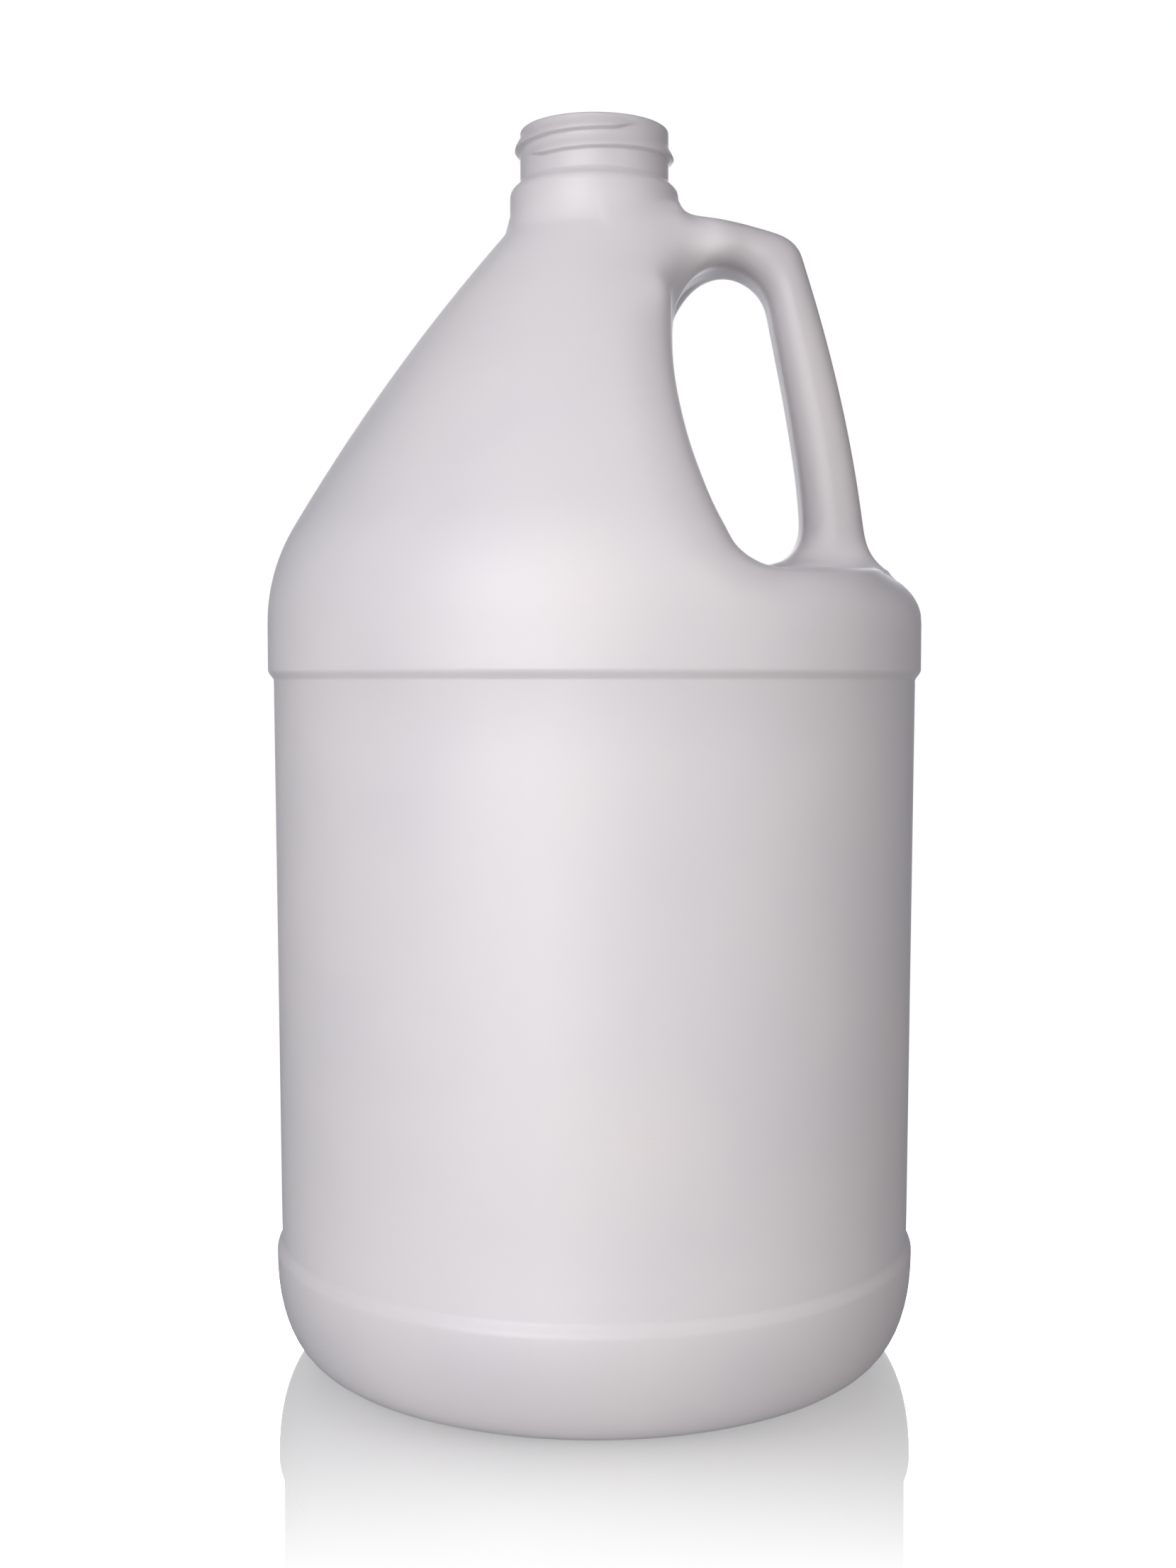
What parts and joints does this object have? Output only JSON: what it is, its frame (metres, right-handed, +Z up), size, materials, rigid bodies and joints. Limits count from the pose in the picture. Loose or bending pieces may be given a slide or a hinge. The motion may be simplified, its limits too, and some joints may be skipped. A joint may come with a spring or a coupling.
{
  "type": "plastic handle jug",
  "caption": "Round translucent plastic jug for liquids, with a conical shoulder, a hollow handle moulded into a side recess and an open screw-thread neck.",
  "frame": {"origin": "middle of the standing ring, on the surface that the jug stands on", "axes": "+Z up along the neck, +X towards the handle, the mould's parting plane is y = 0"},
  "size_m": [0.1564, 0.156, 0.2927],
  "materials": {
    "natural_polyethylene": "natural blow-moulded polyethylene, milky and translucent with a soft satin sheen"
  },
  "bodies": {
    "root": {"jug": "natural_polyethylene"}
  },
  "joints": []
}
